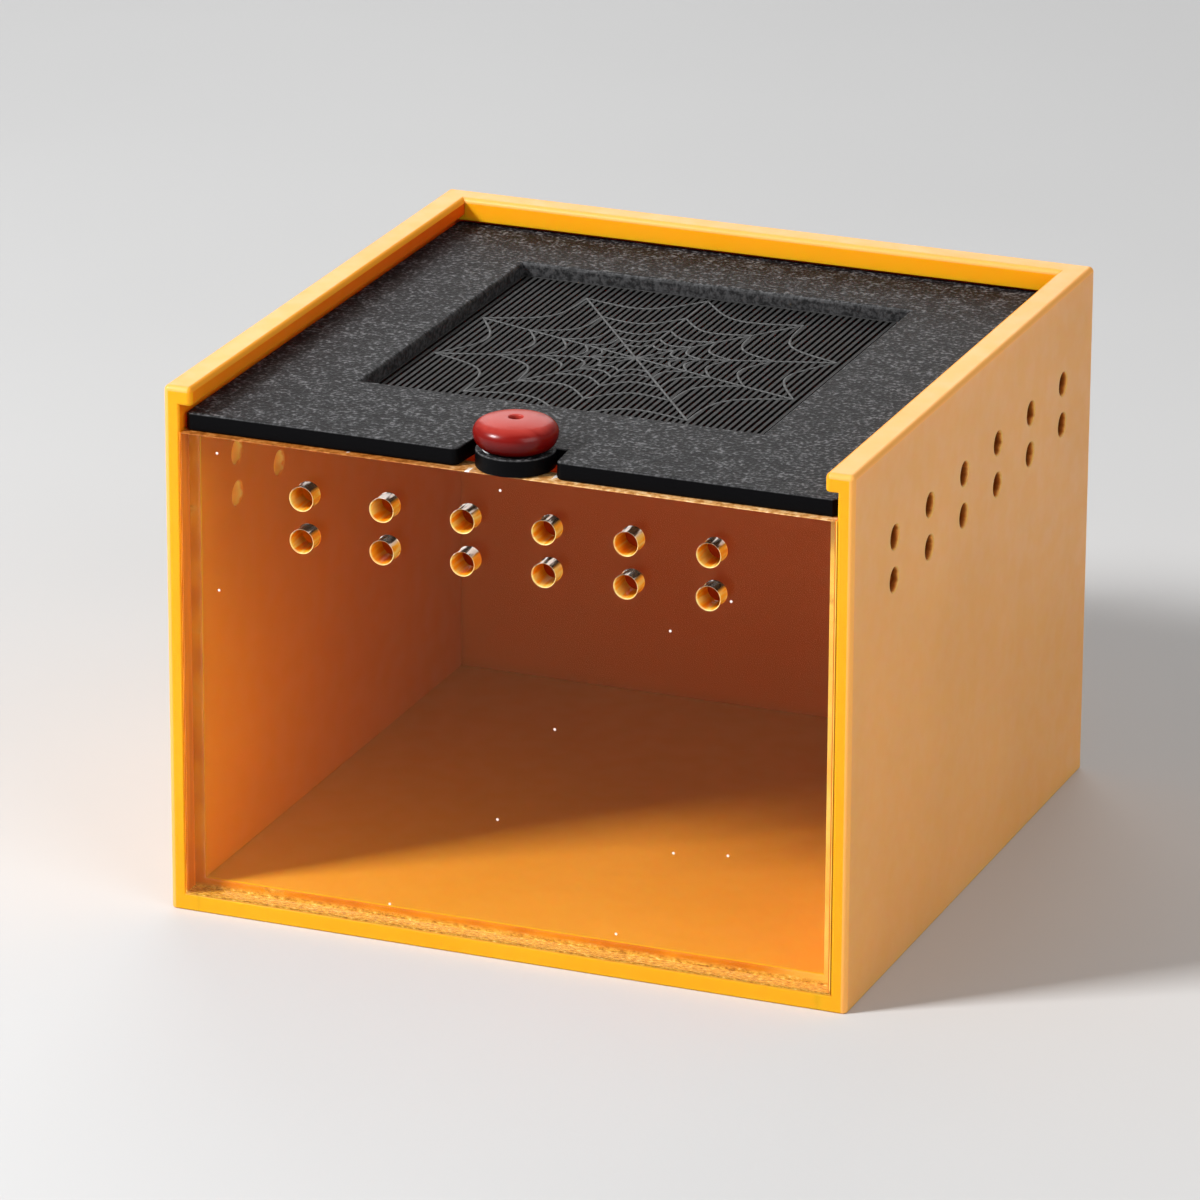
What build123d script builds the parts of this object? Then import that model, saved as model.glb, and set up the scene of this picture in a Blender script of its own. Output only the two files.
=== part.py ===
from build123d import *
from math import cos, pi, sin
import os

os.makedirs("parts", exist_ok=True)

# A small display enclosure for a jumping spider: a box of bonded acrylic sheet with a clear
# glued front window and a black vented lid that slides out to the front.
# Millimetres. X runs to the right, Y to the back, Z up. The origin is the middle of the
# underside. The front face is at the lowest Y.

# Case
case_width = 120.0
case_depth = 120.0
case_height = 92.0
sheet = 5.0
corner_chamfer = 0.5
rim_radius = 0.7
foot_chamfer = 0.3

# Lip along the rim, and under it the groove that the lid slides in
lip_height = 3.2
groove_height = 4.6
groove_depth = 2.2

# Clear window, set flush into a rebate
window_thickness = 5.0
sill_height = 3.0
cement_gap = 0.2
window_edge_radius = 0.25

# Air holes, in two rows at one height below the groove on the window and on both side walls
hole_drop = 12.35
hole_row_pitch = 7.3
hole_rows = 2
hole_columns = 6
window_hole_diameter = 4.0
window_hole_pitch = 14.2
side_hole_diameter = 4.2
side_hole_pitch = 16.9
side_hole_shift = 2.0

# Lid
lid_thickness = 3.0
lid_side_gap = 0.5
lid_back_gap = 0.4
lid_under_gap = 0.1
lid_setback = 1.3
lid_corner_chamfer = 0.8
lid_edge_chamfer = 0.35

# Finger tab in the front notch of the lid
notch_front_width = 17.2
notch_back_width = 16.0
notch_depth = 6.5
tab_diameter = 13.2
tab_overhang = 2.4

# Vent in the lid
vent_width = 71.0
vent_length = 70.5
vent_shift_x = -1.3
vent_shift_y = 2.8
vent_edge_radius = 0.5
slat_thickness = 0.65
slat_pitch = 1.2
slat_gap = 0.6
slat_margin = 0.4
slat_frame_border = 3.0
slat_frame_gap = 0.1

# Web figure on the slats
web_radius = 33.8
web_spokes = 10
web_rings = 5
web_ring_ratio = 0.69
web_sag_share = 0.2
web_bay_chords = 5
web_line_width = 0.6
web_line_height = 0.2

# Knob bead, glued on the tab
bead_diameter = 14.0
bead_side_radius = 2.55
bead_bore = 2.5
glue_thickness = 0.15
glue_spread = 0.9
glue_skirt = 0.45

# Places worked out from the sizes above
half_width = case_width / 2
half_depth = case_depth / 2
inner_half_width = half_width - sheet
inner_back = half_depth - sheet
slot_half_width = inner_half_width + groove_depth
groove_back = inner_back + groove_depth
lip_underside = case_height - lip_height
ledge_height = lip_underside - groove_height
rebate_depth = window_thickness + cement_gap
hole_height = ledge_height - hole_drop

lid_bottom = ledge_height + lid_under_gap
lid_top = lid_bottom + lid_thickness
lid_half_width = slot_half_width - lid_side_gap
lid_front = -half_depth + lid_setback
lid_back = groove_back - lid_back_gap
lid_length = lid_back - lid_front
tab_centre = lid_front - tab_overhang + tab_diameter / 2
slats_top = lid_bottom + slat_thickness


def near(value, target):
    """True where a coordinate lies on a given plane."""
    return abs(value - target) < 0.01


# The whole case as one form, with its soft edges, runners and rebate. The sheets are cut
# from it, so that their faces run on across every joint.
with BuildPart() as case_form:
    with BuildSketch(Plane.XY) as wall_plan:
        Rectangle(case_width, case_depth)
        chamfer(wall_plan.vertices(), corner_chamfer)
        with Locations((0, -sheet)):
            Rectangle(2 * inner_half_width, case_depth, mode=Mode.SUBTRACT)
    extrude(amount=case_height)
    fillet(case_form.faces().sort_by(Axis.Z)[-1].edges(), rim_radius)

    with BuildSketch(Plane.XY) as floor_plan:
        Rectangle(case_width, case_depth)
        chamfer(floor_plan.vertices(), corner_chamfer)
    extrude(amount=sheet)
    chamfer(case_form.faces().sort_by(Axis.Z)[0].edges(), foot_chamfer)

    with BuildSketch(Plane.XY.offset(sill_height)):
        with Locations((0, -half_depth)):
            Rectangle(2 * slot_half_width, rebate_depth, align=(Align.CENTER, Align.MIN))
    extrude(amount=ledge_height - sill_height, mode=Mode.SUBTRACT)

    with BuildSketch(Plane.XY.offset(ledge_height)):
        with Locations((0, -half_depth)):
            Rectangle(2 * slot_half_width, groove_back + half_depth, align=(Align.CENTER, Align.MIN))
    extrude(amount=groove_height, mode=Mode.SUBTRACT)
    groove_roof_edges = [e for e in case_form.edges() if near(e.center().Z, lip_underside)]
    lip_edges = [
        e
        for e in groove_roof_edges
        if near(abs(e.center().X), inner_half_width) or near(e.center().Y, inner_back)
    ]
    fillet(lip_edges, rim_radius)

    with BuildSketch(Plane.YZ.offset(-half_width)):
        with Locations((side_hole_shift, hole_height)):
            with GridLocations(side_hole_pitch, hole_row_pitch, hole_columns, hole_rows):
                Circle(side_hole_diameter / 2)
    extrude(amount=case_width, mode=Mode.SUBTRACT)

# Side walls, of the full depth and height
with BuildPart() as left_side_wall:
    add(case_form.part)
    split(bisect_by=Plane.YZ.offset(-inner_half_width), keep=Keep.BOTTOM)

with BuildPart() as right_side_wall:
    add(case_form.part)
    split(bisect_by=Plane.YZ.offset(inner_half_width), keep=Keep.TOP)

# Floor, between the side walls and under the back wall
with BuildPart() as floor_panel:
    add(case_form.part)
    split(bisect_by=Plane.YZ.offset(-inner_half_width), keep=Keep.TOP)
    split(bisect_by=Plane.YZ.offset(inner_half_width), keep=Keep.BOTTOM)
    split(bisect_by=Plane.XY.offset(sheet), keep=Keep.BOTTOM)

# Back wall, standing on the floor between the side walls
with BuildPart() as back_wall:
    add(case_form.part)
    split(bisect_by=Plane.YZ.offset(-inner_half_width), keep=Keep.TOP)
    split(bisect_by=Plane.YZ.offset(inner_half_width), keep=Keep.BOTTOM)
    split(bisect_by=Plane.XY.offset(sheet), keep=Keep.TOP)

# Clear window with its air holes
window_width = 2 * (slot_half_width - cement_gap)
window_bottom = sill_height + cement_gap
window_height = ledge_height - window_bottom
front_plane = Plane.XZ.offset(half_depth)

with BuildPart() as front_window:
    with BuildSketch(front_plane):
        with Locations((0, window_bottom)):
            Rectangle(window_width, window_height, align=(Align.CENTER, Align.MIN))
    extrude(amount=-window_thickness)
    fillet(front_window.faces().sort_by(Axis.Z)[-1].edges().filter_by(Axis.X), window_edge_radius)
    with BuildSketch(front_plane):
        with Locations((0, hole_height)):
            with GridLocations(window_hole_pitch, hole_row_pitch, hole_columns, hole_rows):
                Circle(window_hole_diameter / 2)
    extrude(amount=-window_thickness, mode=Mode.SUBTRACT)

# Cured cement that fills the rebate round the edges of the window and behind its margin
with BuildPart() as window_cement:
    with BuildSketch(front_plane):
        with Locations((0, sill_height)):
            Rectangle(2 * slot_half_width, ledge_height - sill_height, align=(Align.CENTER, Align.MIN))
        with Locations((0, sheet)):
            Rectangle(
                2 * inner_half_width, case_height, align=(Align.CENTER, Align.MIN), mode=Mode.SUBTRACT
            )
    extrude(amount=-rebate_depth)
    with BuildSketch(front_plane):
        with Locations((0, window_bottom)):
            Rectangle(window_width, case_height, align=(Align.CENTER, Align.MIN))
    extrude(amount=-window_thickness, mode=Mode.SUBTRACT)

# Lid with its notch, round finger tab and vent opening
vent_centre = (vent_shift_x, vent_shift_y)
frame_width = vent_width + 2 * slat_frame_border
frame_length = vent_length + 2 * slat_frame_border

with BuildPart() as lid_panel:
    with BuildSketch(Plane.XY.offset(lid_bottom)) as lid_plan:
        with Locations((0, lid_front)):
            Rectangle(2 * lid_half_width, lid_length, align=(Align.CENTER, Align.MIN))
        chamfer(lid_plan.vertices(), lid_corner_chamfer)
        with BuildLine():
            Polyline(
                (-notch_front_width / 2, lid_front),
                (notch_front_width / 2, lid_front),
                (notch_back_width / 2, lid_front + notch_depth),
                (-notch_back_width / 2, lid_front + notch_depth),
                close=True,
            )
        make_face(mode=Mode.SUBTRACT)
        with Locations((0, tab_centre)):
            Circle(tab_diameter / 2)
        with Locations(vent_centre):
            Rectangle(vent_width, vent_length, mode=Mode.SUBTRACT)
    extrude(amount=lid_thickness)
    fillet(lid_panel.faces().sort_by(Axis.Z)[-1].inner_wires()[0].edges(), vent_edge_radius)
    chamfer(lid_panel.faces().sort_by(Axis.Z)[-1].outer_wire().edges(), lid_edge_chamfer)
    chamfer(lid_panel.faces().sort_by(Axis.Z)[0].outer_wire().edges(), lid_edge_chamfer)
    with BuildSketch(Plane.XY.offset(lid_bottom)):
        with Locations(vent_centre):
            Rectangle(frame_width, frame_length)
    extrude(amount=slat_thickness, mode=Mode.SUBTRACT)

# Slatted grille, let into the underside of the lid
slat_columns = int((vent_width - 2 * slat_margin - slat_gap) / slat_pitch) + 1

with BuildPart() as vent_slats:
    with BuildSketch(Plane.XY.offset(lid_bottom)):
        with Locations(vent_centre):
            Rectangle(frame_width - 2 * slat_frame_gap, frame_length - 2 * slat_frame_gap)
            with GridLocations(slat_pitch, 0, slat_columns, 1):
                Rectangle(slat_gap, vent_length - 2 * slat_margin, mode=Mode.SUBTRACT)
    extrude(amount=slat_thickness)

# Web figure: straight spokes, and rings that sag between them in short chords
ring_radii = [web_radius * web_ring_ratio**k for k in range(web_rings)]
bay_angle = 2 * pi / web_spokes


def web_point(radius, angle):
    """A point of the web, by its distance from the hub and its angle from the back."""
    return (vent_shift_x + radius * sin(angle), vent_shift_y + radius * cos(angle))


def scalloped_ring(ring_radius):
    """A closed outline with a cusp on each spoke, sagging between them towards the hub."""
    points = []
    for step in range(web_spokes * web_bay_chords):
        share = step % web_bay_chords / web_bay_chords
        sag = ring_radius * web_sag_share * 4 * share * (1 - share)
        points.append(web_point(ring_radius - sag, step * bay_angle / web_bay_chords))
    Polyline(*points, close=True)


with BuildPart() as spider_web:
    with BuildSketch(Plane.XY.offset(slats_top)):
        for ring_radius in ring_radii:
            with BuildLine():
                scalloped_ring(ring_radius + web_line_width / 2)
            make_face()
            with BuildLine():
                scalloped_ring(ring_radius - web_line_width / 2)
            make_face(mode=Mode.SUBTRACT)
        with Locations(vent_centre):
            with PolarLocations(0, web_spokes, start_angle=90):
                Rectangle(web_radius, web_line_width, align=(Align.MIN, Align.CENTER))
    extrude(amount=web_line_height)

# Bead, turned about its stringing hole
bead_flat_radius = bead_diameter / 2 - bead_side_radius
bead_bottom = lid_top + glue_thickness
bead_waist = bead_bottom + bead_side_radius
bead_top = bead_waist + bead_side_radius
tab_axis = Axis((0, tab_centre, 0), (0, 0, 1))
knob_section = Plane(origin=(0, tab_centre, 0), x_dir=(1, 0, 0), z_dir=(0, -1, 0))

with BuildPart() as knob_bead:
    with BuildSketch(knob_section):
        with BuildLine():
            Line((bead_bore / 2, bead_bottom), (bead_flat_radius, bead_bottom))
            CenterArc((bead_flat_radius, bead_waist), bead_side_radius, -90, 180)
            Line((bead_flat_radius, bead_top), (bead_bore / 2, bead_top))
            Line((bead_bore / 2, bead_top), (bead_bore / 2, bead_bottom))
        make_face()
    revolve(axis=tab_axis)

# Clear glue under the bead, with the little that squeezed out round its foot
with BuildPart() as knob_glue:
    with BuildSketch(knob_section):
        with BuildLine():
            Polyline(
                (0, lid_top),
                (bead_flat_radius + glue_spread + glue_skirt, lid_top),
                (bead_flat_radius + glue_spread, bead_bottom),
                (0, bead_bottom),
                close=True,
            )
        make_face()
    revolve(axis=tab_axis)

pieces = {
    "floor_panel": floor_panel,
    "left_side_wall": left_side_wall,
    "right_side_wall": right_side_wall,
    "back_wall": back_wall,
    "front_window": front_window,
    "window_cement": window_cement,
    "lid_panel": lid_panel,
    "vent_slats": vent_slats,
    "spider_web": spider_web,
    "knob_bead": knob_bead,
    "knob_glue": knob_glue,
}
for name, piece in pieces.items():
    piece.part.label = name
    export_step(piece.part, f"parts/{name}.step")
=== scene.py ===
from math import asin, cos, pi, radians, sin

import bmesh
import bpy
from mathutils import Matrix, Vector, noise


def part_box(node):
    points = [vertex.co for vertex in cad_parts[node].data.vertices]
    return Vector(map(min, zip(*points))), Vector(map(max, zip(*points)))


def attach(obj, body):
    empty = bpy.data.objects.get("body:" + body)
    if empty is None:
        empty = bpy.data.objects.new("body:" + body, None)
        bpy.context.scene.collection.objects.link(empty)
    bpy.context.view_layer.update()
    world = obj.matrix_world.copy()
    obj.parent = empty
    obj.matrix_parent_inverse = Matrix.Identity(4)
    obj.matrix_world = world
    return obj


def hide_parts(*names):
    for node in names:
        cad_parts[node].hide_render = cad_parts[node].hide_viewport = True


# The looks of a jumping spider enclosure: a box of bonded orange acrylic with a clear glued
# window, a black vented lid that slides out to the front, and a red bead for a knob.
# Metres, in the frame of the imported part: X to the right, Y to the back, Z up.
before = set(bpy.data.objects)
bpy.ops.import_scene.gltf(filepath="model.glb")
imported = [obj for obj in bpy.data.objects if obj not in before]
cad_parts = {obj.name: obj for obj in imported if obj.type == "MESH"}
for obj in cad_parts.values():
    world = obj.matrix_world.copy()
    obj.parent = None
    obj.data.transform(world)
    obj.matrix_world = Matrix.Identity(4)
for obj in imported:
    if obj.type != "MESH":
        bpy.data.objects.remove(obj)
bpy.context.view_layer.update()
mm = 0.001

# Places that the frame gives
right_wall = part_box("right_side_wall")
floor_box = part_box("floor_panel")
window_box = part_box("front_window")
cement_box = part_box("window_cement")
lid_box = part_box("lid_panel")
slats_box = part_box("vent_slats")
bead_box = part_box("knob_bead")
glue_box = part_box("knob_glue")

half_width = right_wall[1].x
half_depth = right_wall[1].y
case_height = right_wall[1].z
inner_half_width = right_wall[0].x
sheet = half_width - inner_half_width
inner_back = half_depth - sheet
slot_half_width = cement_box[1].x
groove_back = inner_back + slot_half_width - inner_half_width
sill_height = cement_box[0].z
rebate_back = cement_box[1].y
ledge_height = window_box[1].z
lid_top = lid_box[1].z
lid_bottom = lid_box[0].z
lid_half_width = lid_box[1].x
lid_back = lid_box[1].y
slats_top = slats_box[1].z

# Sizes of the case that repeat the part's own
lip_height = 3.2 * mm
hole_drop = 12.35 * mm
hole_row_pitch = 7.3 * mm
window_hole_radius = 2.0 * mm
window_hole_pitch = 14.2 * mm
side_hole_radius = 2.1 * mm
side_hole_pitch = 16.9 * mm
side_hole_shift = 2.0 * mm
hole_columns = 6
lip_underside = case_height - lip_height
hole_rows = [ledge_height - hole_drop + row * hole_row_pitch / 2 for row in (-1, 1)]

# Sizes of the lid that repeat the part's own
tab_overhang = 2.4 * mm
tab_radius = 6.6 * mm
notch_front = 8.6 * mm
notch_back = 8.0 * mm
notch_depth = 6.5 * mm
lid_corner = 0.8 * mm
vent_half_width = 35.5 * mm
vent_half_length = 35.25 * mm
vent_centre = Vector((-1.3 * mm, 2.8 * mm, 0))
web_radius = 33.8 * mm
web_spokes = 10
web_rings = 5
web_ring_ratio = 0.69
web_sag_share = 0.2
lid_front = lid_box[0].y + tab_overhang
tab_centre = lid_box[0].y + tab_radius

# Forms that differ from the solids: soft edges, a lower lip at the back, the web moved a little
rim_radius = 0.9 * mm
soft_edge = 0.45 * mm
foot_edge = 0.35 * mm
hole_flare = 0.25 * mm
glass_edge = 0.15 * mm
back_lip_drop = 0.75 * mm
web_shift = -0.6 * mm

# How far a cutter reaches past what it cuts, and the limits that tell edges and faces apart
reach = 2 * mm
sliver = 0.001 * mm
same_place = 0.01 * mm
sharp_turn = 40
flat_on = 0.999
nearly_flat_on = 0.97
turned_aside = 0.2
tilted = 0.02


# Mesh helpers


def piece_of(name, bm):
    """A new object from a bmesh, which is freed."""
    bmesh.ops.recalc_face_normals(bm, faces=bm.faces)
    mesh = bpy.data.meshes.new(name)
    bm.to_mesh(mesh)
    bm.free()
    piece = bpy.data.objects.new(name, mesh)
    bpy.context.scene.collection.objects.link(piece)
    return piece


upright = Matrix.Identity(4)
lying_along_x = Matrix(((0, 0, 1, 0), (1, 0, 0, 0), (0, 1, 0, 0), (0, 0, 0, 1)))
lying_along_y = Matrix(((0, 1, 0, 0), (0, 0, 1, 0), (1, 0, 0, 0), (0, 0, 0, 1)))


def prism(name, outline, low, high, turn=upright):
    """A closed prism over an outline of two coordinates, from low to high along the third."""
    bm = bmesh.new()
    base = bm.faces.new([bm.verts.new((first, second, low)) for first, second in outline])
    grown = bmesh.ops.extrude_face_region(bm, geom=[base])["geom"]
    top = [part for part in grown if isinstance(part, bmesh.types.BMVert)]
    bmesh.ops.translate(bm, verts=top, vec=(0, 0, high - low))
    bmesh.ops.transform(bm, matrix=turn, verts=bm.verts)
    return piece_of(name, bm)


def block(name, low, high):
    """A box from its lowest to its highest corner."""
    outline = [(low[0], low[1]), (high[0], low[1]), (high[0], high[1]), (low[0], high[1])]
    return prism(name, outline, low[2], high[2])


def turned(name, profile, places, turn=upright, steps=48, closed=False):
    """Bodies turned from a profile of (radius, height) points, one about each place."""
    bm = bmesh.new()
    for place in places:
        rings = []
        for radius, height in profile:
            rings.append([])
            for step in range(steps):
                angle = 2 * pi * step / steps
                point = turn @ Vector((radius * cos(angle), radius * sin(angle), height))
                rings[-1].append(bm.verts.new(point + Vector(place)))
        pairs = list(zip(rings, rings[1:]))
        if closed:
            pairs.append((rings[-1], rings[0]))
        else:
            bm.faces.new(rings[0])
            bm.faces.new(rings[-1])
        for lower, upper in pairs:
            for step in range(steps):
                after = (step + 1) % steps
                bm.faces.new((lower[step], lower[after], upper[after], upper[step]))
    return piece_of(name, bm)


def settle(piece):
    """Applies a piece's modifiers to its mesh."""
    graph = bpy.context.evaluated_depsgraph_get()
    made = bpy.data.meshes.new_from_object(piece.evaluated_get(graph))
    piece.modifiers.clear()
    spent = piece.data
    piece.data = made
    bpy.data.meshes.remove(spent)


def combine(piece, other, operation):
    """Cuts a piece by another body, or keeps only what the two share. The other body goes."""
    modifier = piece.modifiers.new("combine", "BOOLEAN")
    modifier.operation = operation
    modifier.solver = "EXACT"
    modifier.object = other
    settle(piece)
    bpy.data.objects.remove(other)


def soften(piece, wanted, width, segments):
    """Rounds the edges of a piece that the wanted function picks."""
    bm = bmesh.new()
    bm.from_mesh(piece.data)
    bm.normal_update()
    edges = [edge for edge in bm.edges if len(edge.link_faces) == 2 and wanted(edge)]
    bmesh.ops.bevel(
        bm, geom=edges, offset=width, offset_type="OFFSET", segments=segments,
        profile=0.5, affect="EDGES", clamp_overlap=False,
    )
    bm.to_mesh(piece.data)
    bm.free()


def finish_shading(piece, sharp=35):
    """Smooth shading with flat planes and crisp corners kept."""
    piece.data.shade_smooth()
    piece.data.set_sharp_from_angle(angle=radians(sharp))
    modifier = piece.modifiers.new("normals", "WEIGHTED_NORMAL")
    modifier.mode = "FACE_AREA"
    modifier.keep_sharp = True
    settle(piece)


def is_sharp(edge):
    """True for an outward edge that turns by more than the limit."""
    return edge.is_convex and edge.calc_face_angle(0) > radians(sharp_turn)


def middle(edge):
    """The middle of an edge."""
    return (edge.verts[0].co + edge.verts[1].co) / 2


def near(value, target):
    """True where a coordinate lies on a given plane."""
    return abs(value - target) < same_place


def is_level(edge):
    """True for an edge whose two ends are at one height."""
    return near(edge.verts[0].co.z, edge.verts[1].co.z)


def hole_grid(pitch, shift=0.0):
    """Places along a wall, and heights, of the two rows of air holes."""
    return [(shift + (column - (hole_columns - 1) / 2) * pitch, height)
            for height in hole_rows for column in range(hole_columns)]


def bore_profile(plates, radius, flare):
    """Profile of a cutter for round holes through plates, with a rounded rim at each face."""
    steps = [radians(angle) for angle in (10, 30, 50, 70, 90)]
    profile = [(radius + flare, plates[0][0] - reach)]
    for low, high in plates:
        for angle in steps:
            profile.append((radius + flare - flare * sin(angle), low + flare - flare * cos(angle)))
        for angle in reversed(steps):
            profile.append((radius + flare - flare * sin(angle), high - flare + flare * cos(angle)))
    profile.append((radius + flare, plates[-1][1] + reach))
    return profile


# Node helpers for the materials


def new_material(name):
    """A material and its node tree with only an output, a Principled shader and object coordinates."""
    material = bpy.data.materials.new(name)
    material.use_nodes = True
    tree = material.node_tree
    shader = tree.nodes["Principled BSDF"]
    place = tree.nodes.new("ShaderNodeTexCoord").outputs["Object"]
    return material, tree, shader, place


def noise_at(tree, place, scale, detail=2.0, roughness=0.5, distortion=0.0):
    """Noise of a given scale, per metre."""
    node = tree.nodes.new("ShaderNodeTexNoise")
    node.inputs["Scale"].default_value = scale
    node.inputs["Detail"].default_value = detail
    node.inputs["Roughness"].default_value = roughness
    node.inputs["Distortion"].default_value = distortion
    tree.links.new(place, node.inputs["Vector"])
    return node.outputs["Fac"]


def ramp(tree, value, stops):
    """A colour ramp over a value, from (position, colour) stops."""
    node = tree.nodes.new("ShaderNodeValToRGB")
    elements = node.color_ramp.elements
    while len(elements) < len(stops):
        elements.new(0.5)
    for element, (position, colour) in zip(elements, stops):
        element.position = position
        element.color = (*colour, 1)
    tree.links.new(value, node.inputs["Fac"])
    return node.outputs["Color"]


def axes_of(tree, place):
    """The X, Y and Z of coordinates, as sockets."""
    node = tree.nodes.new("ShaderNodeSeparateXYZ")
    tree.links.new(place, node.inputs["Vector"])
    return node.outputs


def calculate(tree, operation, first, second=0.0):
    """The result of an operation on one or two numbers, sockets or constants."""
    node = tree.nodes.new("ShaderNodeMath")
    node.operation = operation
    for socket, value in zip(node.inputs, (first, second)):
        if isinstance(value, float):
            socket.default_value = value
        else:
            tree.links.new(value, socket)
    return node.outputs["Value"]


def wobble(tree, value, strength):
    """Noise taken about its middle and scaled."""
    return calculate(tree, "MULTIPLY", calculate(tree, "SUBTRACT", value, 0.5), strength)


def stretched(tree, place, factors):
    """Coordinates scaled along each axis."""
    node = tree.nodes.new("ShaderNodeMapping")
    node.inputs["Scale"].default_value = factors
    tree.links.new(place, node.inputs["Vector"])
    return node.outputs["Vector"]


def map_range(tree, value, from_low, from_high, to_low=0.0, to_high=1.0):
    """A value mapped from one range to another, and kept inside it."""
    node = tree.nodes.new("ShaderNodeMapRange")
    for socket, number in zip(("From Min", "From Max", "To Min", "To Max"),
                              (from_low, from_high, to_low, to_high)):
        node.inputs[socket].default_value = number
    tree.links.new(value, node.inputs["Value"])
    return node.outputs["Result"]


def mix(tree, share, first, second):
    """Two colours, sockets or constants, mixed by a share."""
    node = tree.nodes.new("ShaderNodeMix")
    node.data_type = "RGBA"
    inputs = [socket for socket in node.inputs if socket.type == "RGBA"]
    for socket, value in zip(inputs, (first, second)):
        if isinstance(value, tuple):
            socket.default_value = (*value, 1)
        else:
            tree.links.new(value, socket)
    tree.links.new(share, next(socket for socket in node.inputs if socket.type == "VALUE"))
    return next(socket for socket in node.outputs if socket.type == "RGBA")


def mix_shaders(tree, share, first, second):
    """Two shaders mixed by a share."""
    node = tree.nodes.new("ShaderNodeMixShader")
    for socket, value in zip(node.inputs, (share, first, second)):
        tree.links.new(value, socket)
    return node.outputs["Shader"]


def bump(tree, shader, heights):
    """Chains bump nodes of (height, strength, distance) into a shader's normal."""
    before = None
    for height, strength, distance in heights:
        node = tree.nodes.new("ShaderNodeBump")
        node.inputs["Strength"].default_value = strength
        node.inputs["Distance"].default_value = distance
        tree.links.new(height, node.inputs["Height"])
        if before:
            tree.links.new(before, node.inputs["Normal"])
        before = node.outputs["Normal"]
    tree.links.new(before, shader.inputs["Normal"])


# Materials


def orange_acrylic(name, dark, pale, gloss, painted_back_shade=None, depth=0.55):
    """Orange sheet, lit a little from within. Where given, a painted shade takes over towards the back as a
    darker colour.
    """
    material, tree, shader, place = new_material(name)
    clouds = noise_at(tree, place, 28, detail=3)
    colour = ramp(tree, clouds, [(0.3, dark), (0.7, pale)])
    # Painted shade: the colour darkens towards the back of the case.
    if painted_back_shade:
        far = map_range(tree, axes_of(tree, place)["Y"], -half_depth, inner_back)
        colour = mix(tree, far, colour, painted_back_shade)
    tree.links.new(colour, shader.inputs["Base Color"])
    shader.inputs["Subsurface Weight"].default_value = depth
    shader.inputs["Subsurface Radius"].default_value = (1.0, 0.42, 0.07)
    shader.inputs["Subsurface Scale"].default_value = 3.2 * mm
    shader.inputs["IOR"].default_value = 1.49
    shader.inputs["Specular IOR Level"].default_value = gloss
    rough = map_range(tree, noise_at(tree, place, 240, detail=4), 0.35, 0.65, 0.33, 0.45)
    tree.links.new(rough, shader.inputs["Roughness"])
    waves = noise_at(tree, place, 90, detail=2)
    grain = noise_at(tree, place, 2600, detail=2)
    bump(tree, shader, [(waves, 0.15, 0.1 * mm), (grain, 0.12, 0.02 * mm)])
    return material


def side_bore():
    """Wall of a hole through orange sheet, with painted shade that turns it dark brown in its depth and
    painted light that makes it a glowing orange near the inside, where the light comes in.
    """
    material, tree, shader, place = new_material("side_bore_shade_look")
    out = calculate(tree, "ABSOLUTE", axes_of(tree, place)["X"])
    streaks = noise_at(tree, stretched(tree, place, (0.2, 1, 1)), 900, detail=2)
    through = map_range(tree, out, inner_half_width, half_width)
    depth = calculate(tree, "ADD", through, wobble(tree, streaks, 0.2))
    # Painted light near the inner end, painted shade in the depth, paler again at the outer face.
    colour = ramp(tree, depth, [
        (0.03, (0.85, 0.26, 0.01)), (0.1, (1, 0.70, 0.16)), (0.38, (1, 0.52, 0.06)),
        (0.6, (0.60, 0.16, 0.008)), (0.76, (0.16, 0.035, 0.003)),
        (0.88, (0.36, 0.12, 0.02)), (0.97, (0.80, 0.40, 0.11))])
    tree.links.new(colour, shader.inputs["Base Color"])
    shader.inputs["Subsurface Weight"].default_value = 1
    shader.inputs["Subsurface Radius"].default_value = (1.0, 0.8, 0.6)
    shader.inputs["Subsurface Scale"].default_value = 4 * mm
    shader.inputs["Roughness"].default_value = 0.35
    shader.inputs["Specular IOR Level"].default_value = 0.2
    bump(tree, shader, [(streaks, 0.3, 0.1 * mm)])
    return material


def specks(tree, place):
    """A few small round specks on the front of the window, in about one 10 mm cell of ten."""
    cells_per_metre, empty_share = 100, 0.9
    speck_rim, speck_core = 0.028, 0.016
    axes = axes_of(tree, place)
    flat = tree.nodes.new("ShaderNodeCombineXYZ")
    tree.links.new(axes["X"], flat.inputs["X"])
    tree.links.new(axes["Z"], flat.inputs["Y"])
    cells = tree.nodes.new("ShaderNodeTexVoronoi")
    cells.voronoi_dimensions = "2D"
    cells.inputs["Scale"].default_value = cells_per_metre
    tree.links.new(flat.outputs["Vector"], cells.inputs["Vector"])
    chance = tree.nodes.new("ShaderNodeSeparateColor")
    tree.links.new(cells.outputs["Color"], chance.inputs["Color"])
    rare = calculate(tree, "GREATER_THAN", chance.outputs["Red"], empty_share)
    small = map_range(tree, cells.outputs["Distance"], speck_rim, speck_core)
    front = calculate(tree, "LESS_THAN", axes["Y"], window_box[0].y + mm)
    return calculate(tree, "MULTIPLY", calculate(tree, "MULTIPLY", rare, small), front)


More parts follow.
